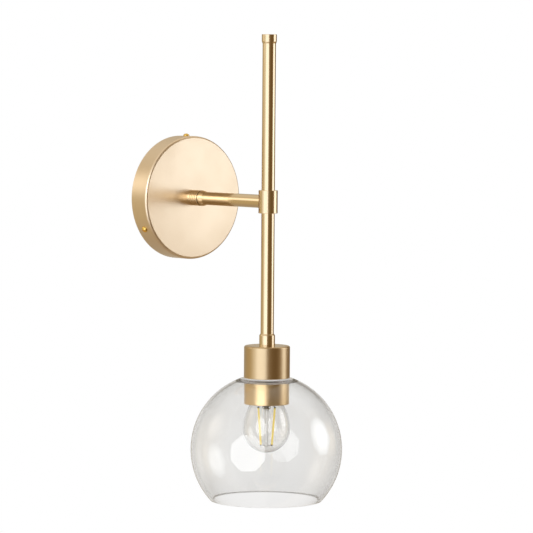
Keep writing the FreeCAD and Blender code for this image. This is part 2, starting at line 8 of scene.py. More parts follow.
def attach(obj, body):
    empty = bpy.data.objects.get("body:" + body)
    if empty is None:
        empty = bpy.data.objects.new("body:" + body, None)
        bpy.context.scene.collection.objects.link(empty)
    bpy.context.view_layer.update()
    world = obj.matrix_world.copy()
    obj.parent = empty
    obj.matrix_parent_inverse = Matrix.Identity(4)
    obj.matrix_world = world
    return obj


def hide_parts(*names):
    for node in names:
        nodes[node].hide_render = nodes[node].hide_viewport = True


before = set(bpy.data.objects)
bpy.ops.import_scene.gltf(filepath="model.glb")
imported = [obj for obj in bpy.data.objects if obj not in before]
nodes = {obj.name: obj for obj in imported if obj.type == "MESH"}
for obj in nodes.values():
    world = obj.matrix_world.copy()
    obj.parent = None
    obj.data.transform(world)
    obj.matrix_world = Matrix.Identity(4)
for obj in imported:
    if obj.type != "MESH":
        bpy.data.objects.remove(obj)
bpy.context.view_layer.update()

mm = 0.001
rodY = -131.5                        # the upright rod's axis, in front of the wall
rodAxis = {"centre": (0, rodY * mm, 0), "along": (0, 0, 1)}
armAxis = {"centre": (0, 0, 0), "along": (0, 1, 0)}


def deselectAll():
    if bpy.context.object and bpy.context.object.mode != "OBJECT":
        bpy.ops.object.mode_set(mode="OBJECT")
    bpy.ops.object.select_all(action="DESELECT")


def onAxis(axis, radius, height):
    # a profile point: radius from the axis, height along it; the arm's heights count out from the wall
    if axis is rodAxis:
        return Vector((radius * mm, rodY * mm, height * mm))
    return Vector((radius * mm, -height * mm, 0))


def firstPoint(name, place):
    deselectAll()
    bpy.ops.mesh.primitive_plane_add(size=0.01, location=(0, 0, 0))
    piece = bpy.context.object
    piece.name = piece.data.name = name
    bpy.ops.object.mode_set(mode="EDIT")
    bpy.ops.mesh.select_all(action="SELECT")
    bpy.ops.mesh.merge(type="CENTER")
    bpy.ops.transform.translate(value=place)
    return piece


def selectedPlace(piece):
    shape = bmesh.from_edit_mesh(piece.data)
    return next(v.co.copy() for v in shape.verts if v.select)


def selectNear(piece, place, reach=1e-6):
    bpy.ops.mesh.select_all(action="DESELECT")
    shape = bmesh.from_edit_mesh(piece.data)
    shape.verts.ensure_lookup_table()
    found = [v for v in shape.verts if (v.co - place).length < reach]
    for vert in found:
        vert.select_set(True)
    bmesh.update_edit_mesh(piece.data)
    return len(found)


def drawProfile(name, axis, steps):
    # steps: (radius, height), (radius, height, rounding), or ("arc", radius, height, degrees, divisions)
    corners = []
    piece = None
    for step in steps:
        if step[0] == "arc":
            centre = onAxis(axis, step[1], step[2])
            bpy.ops.mesh.spin(steps=step[4], angle=-math.radians(step[3]), center=centre,
                              axis=(0, 1, 0) if axis is rodAxis else (0, 0, 1))
            continue
        place = onAxis(axis, step[0], step[1])
        if piece is None:
            piece = firstPoint(name, place)
        else:
            move = place - selectedPlace(piece)
            if move.length > 2e-6:
                bpy.ops.mesh.extrude_region_move(TRANSFORM_OT_translate={"value": move})
        if len(step) > 2:
            corners.append((place, step[2]))
    return piece, corners


def closeProfile(piece, place):
    move = place - selectedPlace(piece)
    bpy.ops.mesh.extrude_region_move(TRANSFORM_OT_translate={"value": move})
    bpy.ops.mesh.select_all(action="SELECT")
    bpy.ops.mesh.remove_doubles(threshold=1e-6)


def roundCorners(piece, corners, divisions):
    for place, rounding in corners:
        if selectNear(piece, place, 3e-6):
            bpy.ops.mesh.bevel(offset=rounding * mm, segments=divisions, affect="VERTICES")


def tidySurface(piece, sharp=38):
    bpy.ops.mesh.select_all(action="SELECT")
    bpy.ops.mesh.remove_doubles(threshold=1e-6)
    bpy.ops.mesh.normals_make_consistent(inside=False)
    bpy.ops.object.mode_set(mode="OBJECT")
    bpy.ops.object.shade_smooth_by_angle(angle=math.radians(sharp))


def evenNormals(piece):
    bpy.ops.object.modifier_add(type="WEIGHTED_NORMAL")
    piece.modifiers[-1].keep_sharp = True
    bpy.ops.object.modifier_apply(modifier=piece.modifiers[-1].name)


def turnPiece(name, axis, steps, around=112, closed=True, divisions=5, even=True):
    piece, corners = drawProfile(name, axis, steps)
    if closed:
        closeProfile(piece, onAxis(axis, steps[0][0], steps[0][1]))
    roundCorners(piece, corners, divisions)
    bpy.ops.mesh.select_all(action="SELECT")
    bpy.ops.mesh.spin(steps=around, angle=2 * math.pi, center=axis["centre"], axis=axis["along"])
    tidySurface(piece)
    if even:
        evenNormals(piece)
    return piece


def cutAway(piece, tool):
    deselectAll()
    bpy.context.view_layer.objects.active = piece
    piece.select_set(True)
    bpy.ops.object.modifier_add(type="BOOLEAN")
    piece.modifiers[-1].object = tool
    piece.modifiers[-1].operation = "DIFFERENCE"
    bpy.ops.object.modifier_apply(modifier=piece.modifiers[-1].name)
    bpy.data.objects.remove(tool)


def cylinderTool(radius, start, end, around=64):
    deselectAll()
    along = Vector(end) - Vector(start)
    bpy.ops.mesh.primitive_cylinder_add(vertices=around, radius=radius * mm, depth=along.length * mm,
                                        location=(Vector(start) + Vector(end)) / 2 * mm,
                                        rotation=along.to_track_quat("Z", "Y").to_euler())
    bpy.ops.object.transform_apply(location=True, rotation=True, scale=True)
    return bpy.context.object


def fit(piece, body, slot, material, *stoodFor):
    piece.data.materials.clear()
    piece.data.materials.append(material)
    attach(piece, body)
    if stoodFor:
        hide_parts(*stoodFor)
    return piece


def newGroup(name, inputs, outputs):
    group = bpy.data.node_groups.new(name, "ShaderNodeTree")
    for title, kind, value in inputs:
        socket = group.interface.new_socket(title, in_out="INPUT", socket_type=kind)
        if value is not None:
            socket.default_value = value
    for title, kind in outputs:
        group.interface.new_socket(title, in_out="OUTPUT", socket_type=kind)
    return group, group.nodes.new("NodeGroupInput"), group.nodes.new("NodeGroupOutput")


def addNode(tree, kind, settings=None, **values):
    node = tree.nodes.new(kind)
    for key, value in (settings or {}).items():
        setattr(node, key, value)
    for key, value in values.items():
        node.inputs[key].default_value = value
    return node


def mathNode(tree, operation, first, second=None, third=None, clamp=False):
    node = addNode(tree, "ShaderNodeMath", {"operation": operation, "use_clamp": clamp})
    for index, value in enumerate((first, second, third)):
        if value is None:
            continue
        if isinstance(value, (int, float)):
            node.inputs[index].default_value = value
        else:
            tree.links.new(value, node.inputs[index])
    return node.outputs[0]


def mixColour(tree, factor, first, second, blend="MIX"):
    node = addNode(tree, "ShaderNodeMix", {"data_type": "RGBA", "blend_type": blend})
    for socket, value in ((node.inputs[0], factor), (node.inputs[6], first), (node.inputs[7], second)):
        if hasattr(value, "is_output"):
            tree.links.new(value, socket)
        else:
            socket.default_value = value
    return node.outputs[2]


def spread(tree, value, low, high, toLow=0.0, toHigh=1.0):
    node = addNode(tree, "ShaderNodeMapRange", {"clamp": True})
    tree.links.new(value, node.inputs[0])
    for index, number in enumerate((low, high, toLow, toHigh)):
        node.inputs[index + 1].default_value = number
    return node.outputs[0]


def weighed(tree, first, share, second):
    # both values added up, the first with this share and the second with the rest
    return mathNode(tree, "ADD", mathNode(tree, "MULTIPLY", first, share),
                    mathNode(tree, "MULTIPLY", second, 1 - share))


def splitPlace(tree):
    # the x, y and z of each point of a piece, in metres
    place = addNode(tree, "ShaderNodeTexCoord")
    split = addNode(tree, "ShaderNodeSeparateXYZ")
    tree.links.new(place.outputs["Object"], split.inputs[0])
    return split.outputs


def makeBrushGroup():
    # fine turning lines: noise stretched round the piece, and cloudy unevenness under it
    group, start, end = newGroup("brushedLines", [
        ("Vector", "NodeSocketVector", None), ("Stretch", "NodeSocketVector", (60, 60, 1800)),
        ("Tint", "NodeSocketColor", (0.8, 0.6, 0.34, 1)), ("Deep", "NodeSocketColor", (0.6, 0.4, 0.2, 1)),
        ("Cloud", "NodeSocketFloat", 0.2), ("Rough", "NodeSocketFloat", 0.25),
        ("Uneven", "NodeSocketFloat", 0.08)],
        [("Color", "NodeSocketColor"), ("Roughness", "NodeSocketFloat"), ("Height", "NodeSocketFloat")])
    link = group.links.new
    stretched = addNode(group, "ShaderNodeVectorMath", {"operation": "MULTIPLY"})
    link(start.outputs["Vector"], stretched.inputs[0])
    link(start.outputs["Stretch"], stretched.inputs[1])
    lines = addNode(group, "ShaderNodeTexNoise", Scale=1.0, Detail=4.0, Roughness=0.65)
    link(stretched.outputs[0], lines.inputs["Vector"])
    clouds = addNode(group, "ShaderNodeTexNoise", Scale=28.0, Detail=3.0, Roughness=0.55)
    link(start.outputs["Vector"], clouds.inputs["Vector"])
    cloudy = spread(group, clouds.outputs[0], 0.35, 0.7)
    edge = addNode(group, "ShaderNodeNewGeometry")
    worn = spread(group, edge.outputs["Pointiness"], 0.515, 0.56)
    lined = spread(group, lines.outputs[0], 0.3, 0.7)
    shade = mathNode(group, "MULTIPLY", weighed(group, cloudy, 0.6, lined), start.outputs["Cloud"])
    shade = mathNode(group, "SUBTRACT", shade, mathNode(group, "MULTIPLY", worn, 0.15), clamp=True)
    link(mixColour(group, shade, start.outputs["Tint"], start.outputs["Deep"]), end.inputs["Color"])
    swing = mathNode(group, "SUBTRACT", weighed(group, lined, 0.6, cloudy), 0.5)
    rough = mathNode(group, "MULTIPLY_ADD", swing, start.outputs["Uneven"], start.outputs["Rough"])
    link(mathNode(group, "SUBTRACT", rough, mathNode(group, "MULTIPLY", worn, 0.05), clamp=True),
         end.inputs["Roughness"])
    link(lined, end.inputs["Height"])
    return group


def makeGrainGroup():
    # moulded, glazed or cast surfaces: a fine pebble, a broad tone and dust that settles on top
    group, start, end = newGroup("mouldedGrain", [
        ("Vector", "NodeSocketVector", None), ("Fine", "NodeSocketFloat", 900.0),
        ("Tint", "NodeSocketColor", (0.5, 0.5, 0.5, 1)), ("Deep", "NodeSocketColor", (0.4, 0.4, 0.4, 1)),
        ("Rough", "NodeSocketFloat", 0.4), ("Uneven", "NodeSocketFloat", 0.15),
        ("Dust", "NodeSocketFloat", 0.1)],
        [("Color", "NodeSocketColor"), ("Roughness", "NodeSocketFloat"), ("Height", "NodeSocketFloat")])
    link = group.links.new
    fine = addNode(group, "ShaderNodeTexNoise", Detail=3.0, Roughness=0.6)
    link(start.outputs["Vector"], fine.inputs["Vector"])
    link(start.outputs["Fine"], fine.inputs["Scale"])
    broad = addNode(group, "ShaderNodeTexNoise", Scale=70.0, Detail=4.0, Roughness=0.6)
    link(start.outputs["Vector"], broad.inputs["Vector"])
    tone = spread(group, broad.outputs[0], 0.35, 0.68)
    colour = mixColour(group, tone, start.outputs["Tint"], start.outputs["Deep"])
    facing = addNode(group, "ShaderNodeNewGeometry")
    split = addNode(group, "ShaderNodeSeparateXYZ")
    link(facing.outputs["Normal"], split.inputs[0])
    settled = mathNode(group, "MULTIPLY", spread(group, split.outputs[2], 0.4, 1.0), start.outputs["Dust"])
    settled = mathNode(group, "MULTIPLY", settled, spread(group, broad.outputs[0], 0.3, 0.6))
    link(mixColour(group, settled, colour, (0.62, 0.58, 0.52, 1)), end.inputs["Color"])
    rough = mathNode(group, "MULTIPLY_ADD", mathNode(group, "SUBTRACT", tone, 0.5), start.outputs["Uneven"],
                     start.outputs["Rough"])
    link(mathNode(group, "ADD", rough, settled, clamp=True), end.inputs["Roughness"])
    link(fine.outputs[0], end.inputs["Height"])
    return group


brushGroup = makeBrushGroup()
grainGroup = makeGrainGroup()


def emptyMaterial(name):
    material = bpy.data.materials.new(name)
    material.use_nodes = True
    material.node_tree.nodes.clear()
    return material, material.node_tree


def newMaterial(name):
    material = bpy.data.materials.new(name)
    material.use_nodes = True
    tree = material.node_tree
    return material, tree, tree.nodes["Principled BSDF"]


def dressed(name, group, look, bump, metallic=0.0, **plain):
    # a material whose colour, roughness and bump come from one of the shared groups
    material, tree, shader = newMaterial(name)
    place = addNode(tree, "ShaderNodeTexCoord")
    effect = addNode(tree, "ShaderNodeGroup")
    effect.node_tree = group
    for key, value in look.items():
        effect.inputs[key].default_value = value
    height = addNode(tree, "ShaderNodeBump", Strength=bump["strength"], Distance=bump["distance"] * mm)
    tree.links.new(place.outputs["Object"], effect.inputs["Vector"])
    tree.links.new(effect.outputs["Color"], shader.inputs["Base Color"])
    tree.links.new(effect.outputs["Roughness"], shader.inputs["Roughness"])
    tree.links.new(effect.outputs["Height"], height.inputs["Height"])
    tree.links.new(height.outputs[0], shader.inputs["Normal"])
    shader.inputs["Metallic"].default_value = metallic
    for key, value in plain.items():
        shader.inputs[key.replace("_", " ")].default_value = value
    return material


def brushed(name, stretch, tint, deep, cloud, rough, uneven, bump, distance=0.05):
    look = {"Stretch": stretch, "Tint": tint, "Deep": deep, "Cloud": cloud, "Rough": rough, "Uneven": uneven}
    return dressed(name, brushGroup, look, {"strength": bump, "distance": distance}, metallic=1.0)


def moulded(name, fine, tint, deep, rough, uneven, dust, bump, distance=0.05, metallic=0.0, **plain):
    look = {"Fine": fine, "Tint": tint, "Deep": deep, "Rough": rough, "Uneven": uneven, "Dust": dust}
    return dressed(name, grainGroup, look, {"strength": bump, "distance": distance}, metallic, **plain)


brassLook = {
    "plain": [(0.88, 0.74, 0.53, 1), (0.80, 0.63, 0.40, 1)],
    "pale": [(0.92, 0.79, 0.62, 1), (0.88, 0.73, 0.54, 1)],
    "rich": [(0.76, 0.61, 0.40, 1), (0.68, 0.51, 0.31, 1)],
    "golden": [(0.92, 0.70, 0.42, 1), (0.84, 0.61, 0.33, 1)],
    "upright": (14, 14, 1400), "level": (14, 1400, 14),
}


def brass(name, stretch, rough, uneven=0.06, cloud=0.35, tone="plain", bump=0.03):
    return brushed(name, brassLook[stretch], *brassLook[tone], cloud, rough, uneven, bump)


def paintedGapShade(material, near, far):
    # painted shade: a dark band in the narrow gap across the arm, between two distances from the wall
    tree = material.node_tree
    shader = tree.nodes["Principled BSDF"]
    fade = 0.2
    out = splitPlace(tree)[1]
    nearSide = spread(tree, out, -(near - fade) * mm, -near * mm)
    farSide = spread(tree, out, -far * mm, -(far + fade) * mm, 1.0, 0.0)
    inside = mathNode(tree, "MULTIPLY", nearSide, farSide)
    clean = shader.inputs["Base Color"].links[0].from_socket
    # the band is painted dark brown, a painted shadow of the gap
    tree.links.new(mixColour(tree, inside, clean, (0.16, 0.10, 0.045, 1)), shader.inputs["Base Color"])
    return material


tubeBrass = brass("tubeBrass", "upright", 0.17, uneven=0.008, bump=0.002)
armBrass = brass("armBrass", "level", 0.17, uneven=0.012, bump=0.004)
cupBrass = brass("cupBrass", "upright", 0.29, uneven=0.03, cloud=0.5, tone="rich", bump=0.003)
ringBrass = brass("ringBrass", "upright", 0.42, uneven=0.03, tone="golden", bump=0.003)
coverBrass = brass("coverBrass", "level", 0.34, cloud=0.5, tone="pale", bump=0.012)
collarBrass = brass("collarBrass", "level", 0.22)
screwBrass = brushed("screwBrass", (400, 400, 400), (0.98, 0.70, 0.20, 1), (0.84, 0.50, 0.10, 1),
                     cloud=0.3, rough=0.09, uneven=0.03, bump=0.05, distance=0.03)
print("materials for the brass are ready")


cap = {"top": 158.4, "height": 8.6, "radius": 7.15, "shoulder": 1.8, "edge": 0.35, "bore": 4.98, "floor": 3}
tube = {"radius": 6.35, "bore": 5.0, "upperEnd": 156.9, "lowerEnd": -131.0}
sleeve = {"radius": 9.15, "half": 10.9, "edge": 0.3}
stemFoot = {"top": -125.5, "radius": 7.55, "shoulder": 1.5}
cup = {"top": -136.9, "bottom": -167.5, "radius": 21.9, "wall": 1.0, "edge": 1.6}

capFoot = cap["top"] - cap["height"]
seat = tube["radius"] + 0.02
topCap = turnPiece("topCap", rodAxis, [
    (0, cap["top"]), (cap["radius"], cap["top"], cap["edge"]),
    (cap["radius"], capFoot + cap["shoulder"], 0.3), (seat + 0.1, capFoot), (seat, capFoot),
    (seat, tube["upperEnd"]), (cap["bore"], tube["upperEnd"]),
    (cap["bore"], capFoot - cap["floor"]), (0, capFoot - cap["floor"])], closed=False)
fit(topCap, "fixture", "satin_brass", tubeBrass, "top_cap")

upperTube = turnPiece("upperTube", rodAxis, [
    (tube["radius"], sleeve["half"]), (tube["radius"], tube["upperEnd"]),
    (tube["bore"], tube["upperEnd"]), (tube["bore"], sleeve["half"])])
fit(upperTube, "fixture", "satin_brass", tubeBrass, "upper_tube")

lowerTube = turnPiece("lowerTube", rodAxis, [
    (tube["radius"], -sleeve["half"]), (tube["bore"], -sleeve["half"]),
    (tube["bore"], tube["lowerEnd"]), (tube["radius"], tube["lowerEnd"])])
fit(lowerTube, "fixture", "satin_brass", tubeBrass, "lower_tube")

tee = turnPiece("teeSleeve", rodAxis, [
    (tube["bore"], sleeve["half"]), (sleeve["radius"], sleeve["half"], sleeve["edge"]),
    (sleeve["radius"], -sleeve["half"], sleeve["edge"]), (tube["bore"], -sleeve["half"])])
cutAway(tee, cylinderTool(tube["bore"], (0, rodY, 0), (0, rodY + sleeve["radius"] + 2, 0)))
fit(tee, "fixture", "satin_brass", tubeBrass, "tee")

stemFerrule = turnPiece("stemFerrule", rodAxis, [
    (seat, stemFoot["top"]), (seat + 0.15, stemFoot["top"]),
    (stemFoot["radius"], stemFoot["top"] - stemFoot["shoulder"], 0.3), (stemFoot["radius"], cup["top"]),
    (tube["bore"], cup["top"]), (tube["bore"], tube["lowerEnd"]), (seat, tube["lowerEnd"])])
fit(stemFerrule, "fixture", "satin_brass", tubeBrass, "stem_ferrule")

cupInside = cup["top"] - cup["wall"] - 0.2
socketCup = turnPiece("socketCup", rodAxis, [
    (5.1, cup["top"]), (cup["radius"], cup["top"], cup["edge"]), (cup["radius"], cup["bottom"], 0.4),
    (cup["radius"] - cup["wall"], cup["bottom"]), (cup["radius"] - cup["wall"], cupInside, 0.6),
    (5.1, cupInside)], around=144)
fit(socketCup, "fixture", "satin_brass", cupBrass, "socket_cup")
print("the rod, tee and cup are turned")


cover = {"radius": 60.0, "depth": 22.0, "wall": 1.2, "edge": 2.4, "hole": 5.1, "screwBack": 10.5,
         "screwHole": 2.2, "holeFrom": 55, "holeTo": 62}
collar = {"radius": 7.6, "length": 12.8, "grooves": 4, "grooveDepth": 0.45, "grooveWidth": 0.9}
ferrule = {"radius": 7.5, "length": 7.0, "neck": 0.5, "neckOut": 0.5, "rim": 2}
screwTurns = {"top": 90.0, "left": 210.0, "right": 330.0}


def spokeAt(turn):
    # outwards from the cover's middle, this many degrees up from the right
    return Vector((math.cos(math.radians(turn)), 0, math.sin(math.radians(turn))))


wallCover = turnPiece("wallCover", armAxis, [
    (cover["hole"], cover["depth"]), (cover["radius"], cover["depth"], cover["edge"]),
    (cover["radius"], 0, 0.25), (cover["radius"] - cover["wall"], 0),
    (cover["radius"] - cover["wall"], cover["depth"] - cover["wall"], 1.2),
    (cover["hole"], cover["depth"] - cover["wall"])], around=192, divisions=7)
screwLine = Vector((0, -cover["screwBack"], 0))
for turn in screwTurns.values():
    near, far = (screwLine + spokeAt(turn) * cover[key] for key in ("holeFrom", "holeTo"))
    cutAway(wallCover, cylinderTool(cover["screwHole"], near, far, around=32))
fit(wallCover, "fixture", "satin_brass", coverBrass, "wall_cover")

start = cover["depth"]
end = start + collar["length"]
steps = [(tube["bore"], start), (collar["radius"], start)]
pitch = collar["length"] / (collar["grooves"] + 1)
for groove in range(1, collar["grooves"] + 1):
    middle = start + groove * pitch
    half = collar["grooveWidth"] / 2
    deep = collar["radius"] - collar["grooveDepth"]
    steps += [(collar["radius"], middle - half, 0.12), (deep, middle - half, 0.1),
              (deep, middle + half, 0.1), (collar["radius"], middle + half, 0.12)]
steps += [(collar["radius"], end, 0.2), (tube["bore"], end)]
armCollar = turnPiece("armCollar", armAxis, steps, divisions=3)
fit(armCollar, "fixture", "satin_brass", collarBrass, "arm_collar")

rimStart, neckEdge = end + ferrule["neck"], seat + ferrule["neckOut"]
armFerrule = turnPiece("armFerrule", armAxis, [
    (seat, end), (neckEdge, end), (neckEdge, rimStart), (ferrule["radius"], rimStart, 0.15),
    (ferrule["radius"], rimStart + ferrule["rim"], 0.6), (seat + 0.1, end + ferrule["length"]),
    (seat, end + ferrule["length"])], divisions=3)
# the ferrule's brass carries a band of painted shade where it meets the collar
ferruleBrass = paintedGapShade(brass("ferruleBrass", "level", 0.17, uneven=0.012, bump=0.004), end - 0.1, end + 0.9)
fit(armFerrule, "fixture", "satin_brass", ferruleBrass, "arm_ferrule")

armTube = turnPiece("armTube", armAxis, [
    (tube["radius"], end), (tube["radius"], -rodY), (tube["bore"], -rodY), (tube["bore"], end)])
cutAway(armTube, cylinderTool(sleeve["radius"] + 0.02, (0, rodY, -20), (0, rodY, 20), around=112))
fit(armTube, "fixture", "satin_brass", armBrass, "arm_tube")
print("the arm and the wall cover are turned")


screw = {"shank": 1.95, "length": 8.0, "head": 3.1, "height": 2.2, "flank": 0.5, "gap": 0.15, "slot": 0.8,
         "slotLength": 8}


def domedScrew(name):
    # drawn upright over the origin, then turned to its place in the rim
    rise = screw["height"] - screw["flank"]
    dome = (screw["head"] ** 2 + rise ** 2) / (2 * rise)
    sweep = math.degrees(math.asin(screw["head"] / dome))
    return turnPiece(name, armAxis, [
        (0, -screw["length"]), (screw["shank"], -screw["length"], 0.3), (screw["shank"], 0),
        (screw["head"], 0, 0.12), (screw["head"], screw["flank"]),
        ("arc", 0, screw["height"] - dome, -sweep, 10)], around=48, closed=False)


def placeScrew(name, turn):
    piece = domedScrew(name)
    deselectAll()
    bpy.ops.mesh.primitive_cube_add(size=1, location=(0, -screw["height"] * mm, 0))
    slotTool = bpy.context.object
    slotTool.scale = (screw["slotLength"] * mm, 2 * screw["slot"] * mm, screw["slot"] * mm)
    bpy.ops.object.transform_apply(location=True, rotation=True, scale=True)
    cutAway(piece, slotTool)
    spoke = spokeAt(turn)
    spot = spoke * (cover["radius"] + screw["gap"]) + screwLine
    stand = Vector((0, -1, 0)).rotation_difference(spoke).to_matrix().to_4x4()
    piece.matrix_world = Matrix.Translation(spot * mm) @ stand
    bpy.ops.object.transform_apply(location=True, rotation=True, scale=True)
    return piece


for side, turn in screwTurns.items():
    rimScrew = placeScrew("rimScrew_" + side, turn)
    fit(rimScrew, "cover_screw_" + side, "bright_brass", screwBrass, "cover_screw_" + side)
print("the rim screws are in")


def clearGlass(name, tint, ior=1.5, ripples=0.015, groundBelow=None):
    material, tree, shader = newMaterial(name)
    place = addNode(tree, "ShaderNodeTexCoord")
    ripple = addNode(tree, "ShaderNodeTexNoise", Scale=22.0, Detail=1.0)
    smear = addNode(tree, "ShaderNodeTexNoise", Scale=60.0, Detail=4.0)
    bump = addNode(tree, "ShaderNodeBump", Strength=ripples, Distance=0.6 * mm)
    tree.links.new(place.outputs["Object"], ripple.inputs["Vector"])
    tree.links.new(place.outputs["Object"], smear.inputs["Vector"])
    tree.links.new(ripple.outputs[0], bump.inputs["Height"])
    tree.links.new(bump.outputs[0], shader.inputs["Normal"])
    rough = spread(tree, smear.outputs[0], 0.5, 0.8, 0.0, 0.02)
    if groundBelow is not None:
        # the cut edge is ground: dull below this height, and there a faint painted glow lightens it
        split = addNode(tree, "ShaderNodeSeparateXYZ")
        tree.links.new(place.outputs["Object"], split.inputs[0])
        ground = spread(tree, split.outputs[2], groundBelow * mm, (groundBelow + 0.15) * mm, 1.0, 0.0)
        rough = mathNode(tree, "MAXIMUM", rough, mathNode(tree, "MULTIPLY", ground, 0.75))
        # painted light: a faint grey glow on the ground edge
        paintedRimGlow = mixColour(tree, ground, (0, 0, 0, 1), (0.13, 0.13, 0.125, 1))
        tree.links.new(paintedRimGlow, shader.inputs["Emission Color"])
        shader.inputs["Emission Strength"].default_value = 1.0
    tree.links.new(rough, shader.inputs["Roughness"])
    shader.inputs["Base Color"].default_value = tint
    shader.inputs["Transmission Weight"].default_value = 1.0
    shader.inputs["IOR"].default_value = ior
    return material


globe = {"radius": 72.3, "centre": -235.9, "wall": 2.5, "top": -168.3, "neckUnder": -171.7, "hole": 20.3,
         "rim": -285.0, "lip": 0.4, "swell": 10.0}
shadeGlass = clearGlass("shadeGlass", (0.915, 0.915, 0.91, 1), groundBelow=globe["rim"] + globe["lip"])
bulbGlassLook = clearGlass("bulbGlassLook", (0.995, 0.995, 0.99, 1), ior=1.65, ripples=0.002)
inner = globe["radius"] - globe["wall"]


def ballAngle(radius, height):
    # degrees down from the ball's top where its surface meets this height
    return math.degrees(math.acos((height - globe["centre"]) / radius))


def ballPoint(radius, degrees):
    angle = math.radians(degrees)
    return (radius * math.sin(angle), globe["centre"] + radius * math.cos(angle))


outerTop, outerRim = ballAngle(globe["radius"], globe["top"]), ballAngle(globe["radius"], globe["rim"])
innerRim = ballAngle(inner, globe["rim"])
# inside, the wall swells towards the neck: an arc that leaves the ball and lies flat at the hole
swellZ = globe["neckUnder"] - globe["swell"]
swellX = math.sqrt((inner - globe["swell"]) ** 2 - (swellZ - globe["centre"]) ** 2)
innerTop = math.degrees(math.atan2(swellX, swellZ - globe["centre"]))
glassShade = turnPiece("globeShade", rodAxis, [
    (globe["hole"], globe["top"], 0.3), (*ballPoint(globe["radius"], outerTop), 0.45),
    ("arc", 0, globe["centre"], outerRim - outerTop, 64),
    (*ballPoint(globe["radius"], outerRim), globe["lip"]), (*ballPoint(inner, innerRim), globe["lip"]),
    ("arc", 0, globe["centre"], innerTop - innerRim, 56), ("arc", swellX, swellZ, -innerTop, 14),
    (globe["hole"], globe["neckUnder"], 0.1)], around=160, divisions=6, even=False)
fit(glassShade, "shade", "clear_glass", shadeGlass, "glass_shade")
print("the globe is blown")


bulb = {"bottom": -239.3, "radius": 22.5, "wall": 0.8, "neck": 12.4, "flare": 4.0, "shoulder": 47.0,
        "neckTop": -185.0}


def bulbWall(inset):
    # the profile up from the lowest point: ball, long shoulder, small flare and straight neck
    centre = bulb["bottom"] + bulb["radius"]
    shoulder = bulb["shoulder"] - inset
    shoulderX = bulb["radius"] - bulb["shoulder"]
    across = bulb["neck"] + bulb["flare"] - shoulderX
    rise = math.sqrt((bulb["flare"] + bulb["shoulder"]) ** 2 - across ** 2)
    lean = math.degrees(math.atan2(rise, across))
    flareZ = centre + rise
    ball = bulb["radius"] - inset
    angle = math.radians(lean)
    meet = (shoulderX + shoulder * math.cos(angle), centre + shoulder * math.sin(angle))
    return [(0, centre - ball), ("arc", 0, centre, -90, 22), (ball, centre),
            ("arc", shoulderX, centre, -lean, 14), meet,
            ("arc", bulb["neck"] + bulb["flare"], flareZ, lean, 8), (bulb["neck"] - inset, flareZ),
            (bulb["neck"] - inset, bulb["neckTop"])]


def backwards(steps):
    # the same profile drawn from its other end
    plain = []
    for step in reversed(steps):
        plain.append(("arc", step[1], step[2], -step[3], step[4]) if step[0] == "arc" else step)
    return plain


bulbGlass = turnPiece("bulbGlass", rodAxis, bulbWall(0) + backwards(bulbWall(bulb["wall"])),
                      around=96, closed=False, even=False)
fit(bulbGlass, "bulb", "bulb_clear_glass", bulbGlassLook, "bulb_glass")

stem = {"foot": bulb["neckTop"] - 2, "flange": 11.5, "flangeEdge": 1, "tip": 1.5, "end": -234}
foot = stem["foot"]
bulbStem = turnPiece("bulbStem", rodAxis, [
    (0, foot), (stem["flange"], foot, 0.3), (stem["flange"], foot - stem["flangeEdge"], 0.4),
    (4.5, foot - 5, 1.5), (2.6, foot - 9, 1.5), (1.7, foot - 13, 2),
    (stem["tip"], stem["end"], 0.5), (0, stem["end"])], around=40, closed=False, even=False)
fit(bulbStem, "bulb", "bulb_clear_glass", bulbGlassLook, "bulb_stem")

filament = {"radius": 0.9, "top": -195.5, "bottom": -233.0, "topOut": 7.9, "bottomOut": 5.2, "turn": -41.6,
            "bare": 1.2, "fade": 0.4}


def filamentEnds(side):
    across = Vector((math.cos(math.radians(filament["turn"])), math.sin(math.radians(filament["turn"])), 0))
    return (Vector((0, rodY, filament["top"])) + across * side * filament["topOut"],
            Vector((0, rodY, filament["bottom"])) + across * side * filament["bottomOut"])


def makeFilamentLook():
    # yellow coating, bare metal at both ends; the same colour also glows as painted light, though the bulb is
    # not lit
    material, tree, shader = newMaterial("filamentLook")
    place = addNode(tree, "ShaderNodeTexCoord")
    split = addNode(tree, "ShaderNodeSeparateXYZ")
    tree.links.new(place.outputs["Object"], split.inputs[0])
    coatLow, coatHigh = filament["bottom"] + filament["bare"], filament["top"] - filament["bare"]
    low = spread(tree, split.outputs[2], coatLow * mm, (coatLow + filament["fade"]) * mm)
    high = spread(tree, split.outputs[2], (coatHigh - filament["fade"]) * mm, coatHigh * mm, 1.0, 0.0)
    coated = mathNode(tree, "MULTIPLY", low, high)
    grain = addNode(tree, "ShaderNodeTexNoise", Scale=900.0, Detail=3.0)
    tree.links.new(place.outputs["Object"], grain.inputs["Vector"])
    yellow = mixColour(tree, grain.outputs[0], (0.92, 0.66, 0.12, 1), (1.0, 0.80, 0.26, 1))
    seen = mixColour(tree, coated, (0.06, 0.055, 0.05, 1), yellow)
    tree.links.new(seen, shader.inputs["Base Color"])
    # painted light: the filaments glow with their own colour
    tree.links.new(seen, shader.inputs["Emission Color"])
    shader.inputs["Emission Strength"].default_value = 0.75
    tree.links.new(spread(tree, grain.outputs[0], 0.3, 0.7, 0.35, 0.5), shader.inputs["Roughness"])
    return material


filamentLook = makeFilamentLook()


def roundedRod(name, start, end, radius, around=20):
    rod = cylinderTool(radius, start, end, around)
    rod.name = rod.data.name = name
    bpy.ops.object.modifier_add(type="BEVEL")
    rod.modifiers[-1].width = radius * 0.5 * mm
    rod.modifiers[-1].segments = 3
    rod.modifiers[-1].angle_limit = math.radians(60)
    bpy.ops.object.modifier_apply(modifier=rod.modifiers[-1].name)
    bpy.ops.object.shade_smooth_by_angle(angle=math.radians(40))
    return rod


